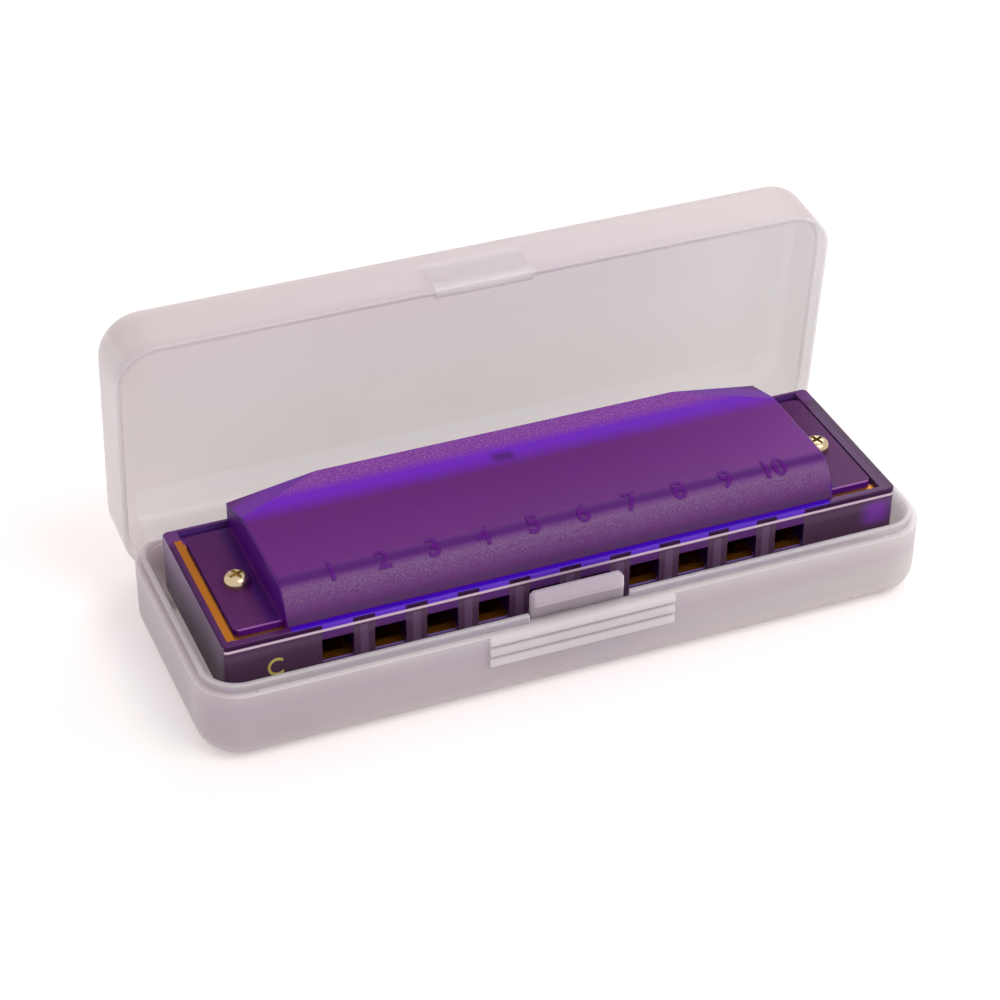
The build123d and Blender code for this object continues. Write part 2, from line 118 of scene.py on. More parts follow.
# Zones that several shades share. A band is a measure, its low and high ends and its soft edge.
CAST_PATCHES = (("patches", 0.48, 2.0, 0.22),)
LID_RIM = (("up", 42.0, 60.0, 0.4), ("upwards", 0.5, 2.0, 0.2))
TRAY_FRONT = (("across", -52.5, 200.0, 6.0),)
GRIP = (("along", -30.0, -19.35, 0.05),)
COVER_FRONT = (("up", 15.5, 30.0, 0.1), ("upwards", 0.2, 0.999, 0.002))
COVER_TOP = (("up", 17.5, 30.0, 0.2), ("upwards", 0.8, 2.0, 0.05))
# where the painted sheen on the front and the painted light on the rear go
COVER_FRONT_SHEEN = COVER_FRONT + (("along", -12.2, -9.5, 1.0),)
COVER_LIT_REAR = COVER_TOP + (("along", 8.6, 30.0, 2.2),)
COVER_SLANT = (("upwards", 0.90, 0.972, 0.01), ("along", 5.0, 30.0, 0.1), ("up", 17.5, 30.0, 0.1))
COVER_ENDS = (("up", 14.0, 17.2, 0.1), ("mirrored", 40.7, 60.0, 0.1))
COMB_FACE = (("forwards", -2.0, -0.7, 0.1), ("along", -20.0, -13.0, 0.05))
COMB_ABOVE = COMB_FACE + (("up", 14.65, 20.0, 0.06),)
MOUTH_ROW = (("across", -37.0, 37.0, 0.2),)
OVER_MOUTHS = (("in_pitch", 1.5, 9.0, 0.15),) + MOUTH_ROW
MOUTH_FLOOR = (("up", 8.0, 9.6, 0.05), ("along", -13.4, 30.0, 0.05))
COMB_TOP = (("up", 15.38, 20.0, 0.04),)
COMB_TOP_FRONT = COMB_TOP + (("along", -20.0, -12.55, 0.05),)
COMB_TOP_ENDS = COMB_TOP + (("mirrored", 40.0, 60.0, 0.1),)
COMB_END = (("endways", 0.6, 2.0, 0.2), ("mirrored", 49.3, 60.0, 0.1))

# Shades, laid one over another in this order: what it is, its colour (a plain number is a part of
# the piece's own colour), how much of it, and the bands that it has to be inside. Many of them
# are painted light and painted shade: highlights, glows and shade laid into the colour.
LID_SHADES = (
    # painted light: the lid paler to the right
    ("painted light to the right", (1.0, 0.90, 0.875), 1.0, (("across", 2.0, 200.0, 50.0),)),
    # painted light on the inside face of the foot, lit from above
    (
        "painted light on the inside foot",
        (1.0, 0.94, 0.92),
        1.0,
        (
            ("forwards", -2.0, 0.3, 0.1),
            ("upwards", -0.3, 2.0, 0.1),
            ("up", 0.0, 12.9, 0.9),
            ("across", -49.5, 60.0, 0.6),
        ),
    ),
    # painted shade on the rim's upper face
    ("rim", 0.78, 1.0, LID_RIM),
    # painted light round the catch pocket, lifting the rim's painted shade there
    (
        "painted light round the catch pocket",
        (0.90, 0.76, 0.765),
        1.0,
        LID_RIM + (("across", -8.4, 7.4, 1.0), ("along", 17.5, 23.6, 1.0)),
    ),
    # painted highlight on the catch rib
    (
        "painted highlight on the catch rib",
        (0.97, 0.87, 0.86),
        1.0,
        (("across", -7.8, 7.2, 0.1), ("along", 10.0, 18.5, 0.1), ("up", 41.0, 60.0, 0.2)),
    ),
)

TRAY_SHADES = (
    # painted shade: the tray deeper to the left
    ("painted shade to the left", 0.82, 1.0, (("across", -200.0, -25.0, 40.0),)),
    # painted light: the tray paler to the right
    ("painted light to the right", (0.83, 0.725, 0.715), 1.0, (("across", 5.0, 200.0, 40.0),)),
    # painted shade where the harmonica stands behind the wall
    ("painted shade of the harmonica behind", (0.56, 0.47, 0.58), 0.5, (("up", 5.5, 11.0, 3.0),)),
    # painted light at the foot of the walls, next to the floor
    ("pale foot", (0.72, 0.61, 0.62), 1.0, (("up", -1.0, 3.0, 3.0),)),
    # painted shade in the groove under the lip
    (
        "painted shade in the groove under the lip",
        (0.50, 0.40, 0.50),
        1.0,
        (("up", 11.4, 12.2, 0.2), ("across", -200.0, 47.0, 6.0)),
    ),
    # painted light on the crest of the lip
    ("painted light on the crest of the lip", (0.86, 0.76, 0.78), 1.0, TRAY_FRONT + (("up", 12.3, 20.0, 0.08),)),
    # painted light on the edge of the ledge
    ("painted light on the edge of the ledge", (0.86, 0.76, 0.78), 1.0, TRAY_FRONT + (("up", 10.95, 11.3, 0.08),)),
    # painted shade between the grip's ribs
    ("painted shade between the grip's ribs", (0.54, 0.455, 0.53), 1.0, GRIP + (("up", 0.0, 11.2, 0.2),)),
)

COVER_SHADES = (
    # painted light: the top brighter to the right
    (
        "painted light on the right of the top",
        (0.19, 0.026, 0.27),
        0.7,
        (("across", 12.0, 90.0, 30.0), ("up", 17.5, 30.0, 1.0)),
    ),
    # painted shade at the foot of the front
    (
        "painted shade at the foot of the front",
        (0.090, 0.026, 0.125),
        1.0,
        COVER_FRONT + (("along", -14.0, -11.6, 0.7),),
    ),
    (
        "violet behind the numbers",
        (0.080, 0.003, 0.160),
        1.0,
        COVER_FRONT + (("along", -10.2, -7.8, 1.0),),
    ),
    # painted sheen on the front, where the lamp's highlight falls
    ("painted sheen on the front", (0.150, 0.056, 0.19), 0.75, COVER_FRONT_SHEEN),
    # specks of painted glint on the front, laid on the real grain
    (
        "painted glints in the front grain",
        (0.28, 0.165, 0.335),
        1.0,
        COVER_FRONT_SHEEN + (("front grain", 0.44, 2.0, 0.30),),
    ),
    # painted glow along the back, where light comes through the plastic
    ("painted glow along the back", (0.18, 0.015, 0.61), 1.0, COVER_TOP + (("along", 4.6, 30.0, 3.0),)),
    # painted light on the rear
    ("painted light on the rear", (0.235, 0.042, 0.40), 1.0, COVER_LIT_REAR),
    # specks of painted glint on the rear, laid on the real grain
    (
        "painted glints in the rear grain",
        (0.42, 0.17, 0.55),
        1.0,
        COVER_LIT_REAR + (("rear grain", 0.46, 2.0, 0.25),),
    ),
    # painted violet light in the thin slanted corners
    ("painted light on the slanted corners", (0.17, 0.008, 0.43), 1.0, COVER_SLANT),
    # painted shade low on the slants
    (
        "painted shade low on the slants",
        (0.115, 0.002, 0.20),
        1.0,
        COVER_SLANT + (("up", 17.0, 19.6, 0.5),),
    ),
    # painted shade where the post inside shows through
    (
        "painted shade of the post showing through",
        (0.080, 0.003, 0.18),
        0.9,
        COVER_TOP + (("across", -3.7, 0.7, 1.3), ("along", 5.6, 8.6, 1.1)),
    ),
    ("screw flanges", (0.086, 0.006, 0.106), 1.0, COVER_ENDS),
    # painted shade on the flanges beside the raised part
    (
        "painted shade beside the raised part",
        (0.055, 0.0, 0.135),
        1.0,
        COVER_ENDS + (("mirrored", 38.0, 43.0, 1.2),),
    ),
    (
        "front edge of the flanges",
        (0.080, 0.0, 0.27),
        1.0,
        COVER_ENDS + (("along", -14.0, -11.0, 0.03),),
    ),
    (
        "light on that edge",
        (0.36, 0.12, 0.42),
        1.0,
        COVER_ENDS + (("up", 15.55, 17.2, 0.05), ("along", -11.2, -10.8, 0.08)),
    ),
    ("end walls", (0.080, 0.0, 0.20), 1.0, (("endways", 0.6, 2.0, 0.1), ("up", 11.0, 30.0, 0.1))),
)

COMB_SHADES = (
    ("upper part of the face", (0.155, 0.085, 0.165), 1.0, COMB_FACE + (("up", 12.2, 14.3, 0.8),)),
    ("lintels", (0.150, 0.040, 0.25), 1.0, COMB_FACE + OVER_MOUTHS + (("up", 12.9, 20.0, 0.1),)),
    # painted shade above the edge line
    ("painted shade above the edge line", (0.040, 0.0, 0.055), 1.0, COMB_ABOVE),
    # painted light above the mouths, where light comes through the comb
    ("painted light above the mouths", (0.19, 0.045, 0.85), 1.0, COMB_ABOVE + OVER_MOUTHS),
    # painted highlight along the comb's top front edge
    ("edge line", (1.0, 0.78, 0.94), 1.0, COMB_FACE + (("up", 14.25, 14.75, 0.08),)),
    (
        "light at the right end",
        (0.32, 0.072, 0.64),
        1.0,
        COMB_FACE + (("across", 44.6, 50.6, 2.4), ("up", 9.4, 14.3, 1.4)),
    ),
    (
        "bars between the mouths",
        (0.22, 0.125, 0.25),
        1.0,
        (("in_pitch", -1.0, 0.7, 0.25),)
        + MOUTH_ROW
        + (("forwards", -2.0, -0.7, 0.1), ("up", 2.0, 14.1, 0.2)),
    ),
    # painted shade on the sides of the mouths
    (
        "painted shade on the sides of the mouths",
        (0.040, 0.004, 0.09),
        1.0,
        (("endways", 0.7, 2.0, 0.1), ("across", -40.0, 40.0, 0.2)),
    ),
    ("floors of the mouths", (0.15, 0.052, 0.004), 1.0, MOUTH_FLOOR),
    (
        "front edge of the floors",
        (0.30, 0.20, 0.62),
        1.0,
        MOUTH_FLOOR + (("along", -13.4, -13.0, 0.05),),
    ),
    ("front of the top", (0.035, 0.0, 0.06), 1.0, COMB_TOP_FRONT),
    # painted glow on the strip before the cover
    (
        "painted glow on the strip before the cover",
        (0.065, 0.0, 0.60),
        1.0,
        COMB_TOP_FRONT + (("across", -40.7, 40.7, 0.2),),
    ),
    ("ends of the top", (0.092, 0.012, 0.125), 1.0, COMB_TOP_ENDS),
    (
        "outer edges of the top",
        (0.06, 0.006, 0.08),
        1.0,
        COMB_TOP_ENDS + (("mirrored", 49.2, 60.0, 0.3),),
    ),
    ("back of the top", (0.17, 0.045, 0.25), 1.0, COMB_TOP_ENDS + (("along", 10.5, 30.0, 1.0),)),
    (
        "amber strip",
        (0.56, 0.18, 0.0),
        1.0,
        COMB_TOP + (("across", -48.8, -40.0, 0.1), ("along", -12.6, 11.5, 0.1)),
    ),
    ("end faces", (0.20, 0.15, 0.23), 1.0, COMB_END),
    # painted light on the end faces, paler toward the back
    (
        "painted light on the end faces at the back",
        (0.42, 0.33, 0.50),
        1.0,
        COMB_END + (("along", -6.0, 60.0, 16.0),),
    ),
    (
        "back of the recess",
        (0.16, 0.06, 0.34),
        1.0,
        (("along", 13.0, 13.75, 0.1), ("up", 14.0, 15.38, 0.05), ("across", -49.9, 49.9, 0.05)),
    ),
)

BRASS_SHADES = (
    # painted shade and purple reflection on the brass at the back
    ("painted shade and reflection at the back", (0.20, 0.05, 0.34), 1.0, (("along", 11.2, 30.0, 0.1),)),
    # painted shade and purple reflection on the brass at the right
    (
        "painted shade and reflection at the right",
        (0.16, 0.03, 0.20),
        1.0,
        (("across", 47.2, 60.0, 0.1), ("along", -10.9, 30.0, 0.3)),
    ),
)

# Stage
LAMP_SIZE = 0.5
LAMP_AIM = (0.0, 0.0, 0.01)
LAMPS = (("Top lamp", (0.30, -0.42, 0.80), 2.4), ("Back lamp", (0.45, 0.60, 0.75), 1.6))
FLOOR_HALF = 3.0
FLOOR_COLOUR = (0.90, 0.865, 0.86, 1.0)
FLOOR_LIFT = 0.30
WORLD_COLOUR = (0.845, 0.81, 0.806, 1.0)
WORLD_LEVEL = 0.78


# Settings that a user can change
class CaseSizes(bpy.types.PropertyGroup):
    """Sizes of the hole numbers and the key letter"""

    number_height: bpy.props.FloatProperty(
        name="Number height",
        description="Height of the hole numbers along the cover",
        default=3.0 * MM,
        unit="LENGTH",
    )
    number_pitch: bpy.props.FloatProperty(
        name="Number pitch",
        description="Distance from one hole number to the next",
        default=7.3 * MM,
        unit="LENGTH",
    )
    number_place: bpy.props.FloatProperty(
        name="Number place",
        description="Way up the cover's front to the middle of the numbers",
        default=6.3 * MM,
        unit="LENGTH",
    )
    number_rise: bpy.props.FloatProperty(
        name="Number rise",
        description="How far the numbers stand out of the cover",
        default=0.16 * MM,
        unit="LENGTH",
    )
    letter_height: bpy.props.FloatProperty(
        name="Key letter height",
        description="Height of the printed key letter",
        default=2.9 * MM,
        unit="LENGTH",
    )


class CaseColours(bpy.types.PropertyGroup):
    """Colours of the plastics, the metals and the foil"""

    lid: bpy.props.FloatVectorProperty(
        name="Lid",
        description="Frosted plastic of the lid",
        default=(0.91, 0.77, 0.765),
        size=3,
        min=0.0,
        max=1.0,
        subtype="COLOR",
    )
    tray: bpy.props.FloatVectorProperty(
        name="Tray",
        description="Frosted plastic of the tray",
        default=(0.645, 0.560, 0.595),
        size=3,
        min=0.0,
        max=1.0,
        subtype="COLOR",
    )
    tongue: bpy.props.FloatVectorProperty(
        name="Tongue",
        description="Frosted plastic of the latch tongue",
        default=(0.470, 0.385, 0.455),
        size=3,
        min=0.0,
        max=1.0,
        subtype="COLOR",
    )
    cover: bpy.props.FloatVectorProperty(
        name="Covers",
        description="Grained purple plastic of the two covers",
        default=(0.132, 0.010, 0.195),
        size=3,
        min=0.0,
        max=1.0,
        subtype="COLOR",
    )
    number: bpy.props.FloatVectorProperty(
        name="Hole numbers",
        description="Smooth purple plastic of the raised numbers, a little deeper than the cover",
        default=(0.108, 0.003, 0.205),
        size=3,
        min=0.0,
        max=1.0,
        subtype="COLOR",
    )
    comb: bpy.props.FloatVectorProperty(
        name="Comb",
        description="Clear purple plastic of the comb",
        default=(0.132, 0.058, 0.130),
        size=3,
        min=0.0,
        max=1.0,
        subtype="COLOR",
    )
    brass: bpy.props.FloatVectorProperty(
        name="Brass",
        description="Reed plates",
        default=(0.72, 0.30, 0.06),
        size=3,
        min=0.0,
        max=1.0,
        subtype="COLOR",
    )
    screw: bpy.props.FloatVectorProperty(
        name="Screws",
        description="Cover screws and nuts",
        default=(0.72, 0.60, 0.38),
        size=3,
        min=0.0,
        max=1.0,
        subtype="COLOR",
    )
    print_gold: bpy.props.FloatVectorProperty(
        name="Gold print",
        description="Foil of the key letter",
        default=(1.0, 0.76, 0.20),
        size=3,
        min=0.0,
        max=1.0,
        subtype="COLOR",
    )


def sizes():
    return bpy.context.scene.harmonica_sizes


def colours():
    return bpy.context.scene.harmonica_colours


# Node groups
def new_group(name, inputs, outputs):
    """An empty group with its sockets, and its two end nodes."""
    group = bpy.data.node_groups.new(name, "ShaderNodeTree")
    for label, kind, value in inputs:
        socket = group.interface.new_socket(label, in_out="INPUT", socket_type=kind)
        socket.default_value = value
    for label, kind in outputs:
        group.interface.new_socket(label, in_out="OUTPUT", socket_type=kind)
    start = group.nodes.new("NodeGroupInput")
    end = group.nodes.new("NodeGroupOutput")
    return group, start, end


def grain_group():
    """Fine pitted grain of a sparked mould: its height, its bright specks and slow clouds."""
    name = "Mould grain"
    if name in bpy.data.node_groups:
        return bpy.data.node_groups[name]
    inputs = [("Scale", "NodeSocketFloat", 2600.0), ("Speck limit", "NodeSocketFloat", 0.62)]
    outputs = [(label, "NodeSocketFloat") for label in ("Height", "Specks", "Clouds")]
    group, start, end = new_group(name, inputs, outputs)
    link = group.links.new
    place = group.nodes.new("ShaderNodeTexCoord")
    pits = group.nodes.new("ShaderNodeTexNoise")
    pits.inputs["Detail"].default_value = 3.0
    pits.inputs["Roughness"].default_value = 0.65
    specks = group.nodes.new("ShaderNodeMapRange")
    specks.inputs["From Max"].default_value = 0.8
    specks.inputs["To Max"].default_value = 1.0
    clouds = group.nodes.new("ShaderNodeTexNoise")
    clouds.inputs["Scale"].default_value = 60.0
    clouds.inputs["Detail"].default_value = 2.0
    link(place.outputs["Object"], pits.inputs["Vector"])
    link(place.outputs["Object"], clouds.inputs["Vector"])
    link(start.outputs["Scale"], pits.inputs["Scale"])
    link(start.outputs["Speck limit"], specks.inputs["From Min"])
    link(pits.outputs["Fac"], specks.inputs["Value"])
    link(pits.outputs["Fac"], end.inputs["Height"])
    link(specks.outputs["Result"], end.inputs["Specks"])
    link(clouds.outputs["Fac"], end.inputs["Clouds"])
    return group


def tint_group():
    """Two colours mixed by a value, for shades and cloudiness."""
    name = "Two tone"
    if name in bpy.data.node_groups:
        return bpy.data.node_groups[name]
    inputs = [
        ("Value", "NodeSocketFloat", 0.5),
        ("Low", "NodeSocketColor", (0.5, 0.5, 0.5, 1.0)),
        ("High", "NodeSocketColor", (0.6, 0.6, 0.6, 1.0)),
    ]
    group, start, end = new_group(name, inputs, [("Color", "NodeSocketColor")])
    mix = group.nodes.new("ShaderNodeMix")
    mix.data_type = "RGBA"
    group.links.new(start.outputs["Value"], mix.inputs["Factor"])
    group.links.new(start.outputs["Low"], mix.inputs["A"])
    group.links.new(start.outputs["High"], mix.inputs["B"])
    group.links.new(mix.outputs["Result"], end.inputs["Color"])
    return group


def band_group():
    """1 where a value lies between two others, with soft edges inside them."""
    name = "Band"
    if name in bpy.data.node_groups:
        return bpy.data.node_groups[name]
    inputs = [
        ("Place", "NodeSocketFloat", 0.0),
        ("From", "NodeSocketFloat", 0.0),
        ("To", "NodeSocketFloat", 1.0),
        ("Softness", "NodeSocketFloat", 0.0002),
    ]
    group, start, end = new_group(name, inputs, [("Mask", "NodeSocketFloat")])
    rise = math_node(group, "SUBTRACT", start.outputs["Place"], start.outputs["From"])
    fall = math_node(group, "SUBTRACT", start.outputs["To"], start.outputs["Place"])
    nearer = math_node(group, "MINIMUM", rise, fall)
    part = math_node(group, "DIVIDE", nearer, start.outputs["Softness"])
    part.node.use_clamp = True
    group.links.new(part, end.inputs["Mask"])
    return group


# Material helpers
def math_node(tree, operation, first, second=None):
    """The result of a sum on sockets or plain numbers."""
    node = tree.nodes.new("ShaderNodeMath")
    node.operation = operation
    for socket, value in zip(node.inputs, (first, second)):
        if isinstance(value, (int, float)):
            socket.default_value = value
        elif value is not None:
            tree.links.new(value, socket)
    return node.outputs[0]


def product(tree, first, second):
    return math_node(tree, "MULTIPLY", first, second)


def new_material(name):
    material = bpy.data.materials.new(name)
    material.use_nodes = True
    tree = material.node_tree
    tree.nodes.clear()
    shader = tree.nodes.new("ShaderNodeBsdfPrincipled")
    output = tree.nodes.new("ShaderNodeOutputMaterial")
    tree.links.new(shader.outputs["BSDF"], output.inputs["Surface"])
    return material, tree, shader


def parts_of(material):
    tree = material.node_tree
    shader = next(node for node in tree.nodes if node.bl_idname == "ShaderNodeBsdfPrincipled")
    return tree, shader


def place_group(tree, group, **values):
    node = tree.nodes.new("ShaderNodeGroup")
    node.node_tree = group
    for label, value in values.items():
        node.inputs[label].default_value = value
    return node


def shade(colour, factor):
    """A paler or deeper form of a colour, with the fourth number that a socket needs."""
    return tuple(min(1.0, part * factor) for part in colour) + (1.0,)


def add_bump(tree, shader, height, strength, distance):
    bump = tree.nodes.new("ShaderNodeBump")
    bump.inputs["Strength"].default_value = strength
    bump.inputs["Distance"].default_value = distance
    tree.links.new(height, bump.inputs["Height"])
    tree.links.new(bump.outputs["Normal"], shader.inputs["Normal"])


def grained_plastic(name, colour, speck, grain, bump, roughness, gloss, see_through=0.0):
    """Moulded plastic with a fine grain, cloudy in its colour and with pale specks."""
    material, tree, shader = new_material(name)
    grains = place_group(tree, grain_group(), Scale=grain)
    low, high = (shade(colour, part) for part in PLASTIC_CLOUDS)
    tone = place_group(tree, tint_group(), Low=low, High=high)
    tree.links.new(grains.outputs["Clouds"], tone.inputs["Value"])
    glint = place_group(tree, tint_group(), High=shade(colour, speck))
    tree.links.new(grains.outputs["Specks"], glint.inputs["Value"])
    tree.links.new(tone.outputs["Color"], glint.inputs["Low"])
    tree.links.new(glint.outputs["Color"], shader.inputs["Base Color"])
    shader.inputs["Roughness"].default_value = roughness
    shader.inputs["IOR"].default_value = PLASTIC_IOR
    shader.inputs["Specular IOR Level"].default_value = gloss
    shader.inputs["Transmission Weight"].default_value = see_through
    if bump:
        add_bump(tree, shader, grains.outputs["Height"], bump, GRAIN_DEPTH)
    return material


def metal(name, colour, roughness, grain, metallic=1.0):
    """Metal with faint clouds and a fine grain."""
    material, tree, shader = new_material(name)
    grains = place_group(tree, grain_group(), Scale=grain)
    low, high = (shade(colour, part) for part in METAL_CLOUDS)
    tone = place_group(tree, tint_group(), Low=low, High=high)
    tree.links.new(grains.outputs["Clouds"], tone.inputs["Value"])
    tree.links.new(tone.outputs["Color"], shader.inputs["Base Color"])
    shader.inputs["Metallic"].default_value = metallic
    shader.inputs["Roughness"].default_value = roughness
    add_bump(tree, shader, grains.outputs["Height"], SCRATCH_STRENGTH, SCRATCH_DEPTH)
    return material


def measured(tree, made, name):
    """The socket of one measure, made once in a material and kept in made."""
    if name in made:
        return made[name]
    if name in GRAINS:
        made[name] = place_group(tree, grain_group(), Scale=GRAINS[name]).outputs["Height"]
    elif name == "mirrored":
        made[name] = math_node(tree, "ABSOLUTE", measured(tree, made, "across"))
    elif name == "endways":
        made[name] = math_node(tree, "ABSOLUTE", measured(tree, made, "sideways"))
    elif name == "in_pitch":
        made[name] = math_node(tree, "PINGPONG", measured(tree, made, "across"), HALF_MOUTH_PITCH)
    else:
        kind, axis = STRAIGHT[name]
        if kind not in made:
            place = tree.nodes.new("ShaderNodeTexCoord")
            split = tree.nodes.new("ShaderNodeSeparateXYZ")
            tree.links.new(place.outputs[kind], split.inputs[0])
            made[kind] = split.outputs
        made[name] = made[kind][axis]
    return made[name]


def mask_of(tree, made, where, strength):
    """1 inside every one of the bands, times a strength."""
    mask = None
    for name, low, high, soft in where:
        unit = MM if name in LENGTHS else 1.0
        node = place_group(
            tree, band_group(), From=low * unit, To=high * unit, Softness=soft * unit
        )
        tree.links.new(measured(tree, made, name), node.inputs["Place"])
        part = node.outputs["Mask"]
        mask = part if mask is None else product(tree, mask, part)
    return mask if strength == 1.0 else product(tree, mask, strength)


def lay_shades(material, own_colour, shades):
    """Lays shades over the base colour of a material."""
    tree, shader = parts_of(material)
    made = {}
    for label, colour, strength, where in shades:
        before = shader.inputs["Base Color"].links[0].from_socket
        laid = shade(own_colour, colour) if isinstance(colour, float) else shade(colour, 1.0)
        node = place_group(tree, tint_group(), High=laid)
        node.label = label
        tree.links.new(mask_of(tree, made, where, strength), node.inputs["Value"])
        tree.links.new(before, node.inputs["Low"])
        tree.links.new(node.outputs["Color"], shader.inputs["Base Color"])
    return material


def case_plastic(name, colour, cast):
    """Frosted plastic that light soaks into, with patches of a second colour."""
    plastic = grained_plastic(
        name, colour, speck=1.04, grain=900.0, bump=0.12, roughness=0.36, gloss=0.5
    )
    lay_shades(plastic, colour, (("cast in patches", cast, 1.0, CAST_PATCHES),))
    shader = parts_of(plastic)[1]
    shader.inputs["Subsurface Weight"].default_value = 1.0
    shader.inputs["Subsurface Radius"].default_value = SOAK_RADIUS
    shader.inputs["Subsurface Scale"].default_value = SOAK_DEPTH
    return plastic


def dress(nodes, material):
    for name in nodes:
        mesh = NODES[name].data
        mesh.materials.clear()
        mesh.materials.append(material)


# Number and letter shapes
def glyph_mesh(name, text, height, rise, weight):
    """The mesh of a word in Blender's own letters, centred, lying flat and raised."""
    curve = bpy.data.curves.new(name, "FONT")
    curve.body = text
    curve.align_x = "CENTER"
    curve.size = height / CAPITAL_HEIGHT
    curve.extrude = rise / 2
    curve.offset = weight
    curve.bevel_depth = GLYPH_BEVEL
    curve.bevel_resolution = 1
    curve.resolution_u = 6
    holder = bpy.data.objects.new(name + "_words", curve)
    bpy.context.scene.collection.objects.link(holder)
    bpy.context.view_layer.update()
    mesh = bpy.data.meshes.new_from_object(holder)
    bpy.data.objects.remove(holder)
    mesh.name = name
    low = min(vertex.co.y for vertex in mesh.vertices)
    high = max(vertex.co.y for vertex in mesh.vertices)
    for vertex in mesh.vertices:
        vertex.co.y -= (low + high) / 2
    return mesh


def sliced(mesh, step, reach):
    """Cuts the mesh across Y at even steps, so that it can bend."""
    bm = bmesh.new()
    bm.from_mesh(mesh)
    count = int(reach / step)
    for number in range(-count, count + 1):
        parts = bm.verts[:] + bm.edges[:] + bm.faces[:]
        cut = (0, number * step, 0)
        bmesh.ops.bisect_plane(bm, geom=parts, plane_co=cut, plane_no=(0, 1, 0))
    bm.to_mesh(mesh)
    bm.free()


def cover_point(way):
    """The place and outward direction on the cover's front, at a way up from its foot."""
    rise = Vector((COVER_SHOULDER[0] - COVER_FOOT[0], COVER_SHOULDER[1] - COVER_FOOT[1]))
    run = rise.length
    rise.normalize()
    slope = math.atan2(rise.y, rise.x)
    cut = COVER_ROUND * math.tan(slope / 2)
    straight = run - cut
    arc = COVER_ROUND * slope
    if way < straight:
        return Vector(COVER_FOOT) + rise * way, Vector((-rise.y, rise.x))
    if way < straight + arc:
        middle = Vector((COVER_SHOULDER[0] + cut, COVER_SHOULDER[1] - COVER_ROUND))
        turn = math.pi / 2 + slope - (way - straight) / COVER_ROUND
        out = Vector((math.cos(turn), math.sin(turn)))
        return middle + out * COVER_ROUND, out
    flat = COVER_SHOULDER[0] + cut + way - straight - arc
    return Vector((flat, COVER_SHOULDER[1])), Vector((0, 1))


def lay_on_cover(mesh, x):
    """Bends a flat word round the front of the upper cover."""
    place = sizes().number_place
    for vertex in mesh.vertices:
        spot, out = cover_point((place + vertex.co.y) / MM)
        lift = vertex.co.z / MM
        y = COMB_FRONT_Y + spot.x + out.x * lift
        z = COVER_MID_Z + spot.y + out.y * lift
        vertex.co = (x + vertex.co.x, y * MM, z * MM)


def add_piece(name, mesh, body, material):
    piece = bpy.data.objects.new(name, mesh)
    bpy.context.scene.collection.objects.link(piece)
    mesh.materials.clear()
    mesh.materials.append(material)
    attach(piece, body)
    return piece


# Operators
class DressCase(bpy.types.Operator):
    """Frosted see-through plastic for the tray, the lid and the latch tongue"""

    bl_idname = "harmonica_case.dress_case"
    bl_label = "Case plastic"

    def execute(self, context):
        lid = tuple(colours().lid)
        plastic = case_plastic("Frosted lid plastic", lid, LID_CAST)
        dress(["lid_shell"], lay_shades(plastic, lid, LID_SHADES))
        tray = tuple(colours().tray)
        bluer = tuple(min(1.0, own * part) for own, part in zip(tray, TRAY_CAST))
        plastic = case_plastic("Frosted tray plastic", tray, bluer)
        lay_shades(plastic, tray, TRAY_SHADES)
        dress(["base_tray"], lay_shades(plastic, tray, self.grip_crests()))
        tongue = tuple(colours().tongue)
        dress(["latch_tongue"], case_plastic("Frosted tongue plastic", tongue, TONGUE_CAST))
        return {"FINISHED"}

    def grip_crests(self):
        """Painted light on the crests of the thumb grip's ribs."""
        shades = []
        for number in range(GRIP_RIBS):
            middle = GRIP_TOP - GRIP_PITCH * number
            crest = GRIP + (("up", middle - GRIP_HALF, middle + GRIP_HALF, GRIP_SOFT),)
            shades.append(("painted light on a rib's crest", GRIP_CREST_LIGHT, 1.0, crest))
        return shades


class DressCovers(bpy.types.Operator):
    """Grained purple plastic for the two covers"""

    bl_idname = "harmonica_case.dress_covers"
    bl_label = "Covers"

    def execute(self, context):
        colour = tuple(colours().cover)
        plastic = grained_plastic(
            "Grained purple plastic",
            colour,
            speck=1.5,
            grain=2600.0,
            bump=0.6,
            roughness=0.42,
            gloss=0.22,
        )
        dress(["upper_cover", "lower_cover"], lay_shades(plastic, colour, COVER_SHADES))
        return {"FINISHED"}


class DressComb(bpy.types.Operator):
    """Clear purple plastic for the comb"""

    bl_idname = "harmonica_case.dress_comb"
    bl_label = "Comb"

    def execute(self, context):
        colour = tuple(colours().comb)
        plastic = grained_plastic(
            "Clear purple plastic",
            colour,
            speck=1.1,
            grain=400.0,
            bump=0.0,
            roughness=0.22,
            gloss=0.18,
            see_through=0.15,
        )
        dress(["comb"], lay_shades(plastic, colour, COMB_SHADES))
        return {"FINISHED"}


class DressBrass(bpy.types.Operator):
    """Rolled brass for the reed plates, reeds and rivets"""

    bl_idname = "harmonica_case.dress_brass"
    bl_label = "Reed plates and reeds"

    def execute(self, context):
        brass = tuple(colours().brass)
        rolled = metal("Rolled brass", brass, roughness=0.42, grain=1500.0)
        dress(["upper_reed_plate", "lower_reed_plate"], lay_shades(rolled, brass, BRASS_SHADES))
        paler = shade(brass, GROUND_BRASS)[:3]
        ground = metal("Ground brass", paler, roughness=0.3, grain=3000.0)
        dress(REEDS + ["upper_rivets", "lower_rivets"], ground)
        return {"FINISHED"}


class DressScrews(bpy.types.Operator):
    """Dull plated metal for the cover screws and their nuts"""

    bl_idname = "harmonica_case.dress_screws"
    bl_label = "Screws"

    def execute(self, context):
        screws = [name for name in NODES if "screw" in name or "nut" in name]
        plated = metal("Plated screw", tuple(colours().screw), roughness=0.25, grain=2000.0)
        dress(screws, plated)
        return {"FINISHED"}


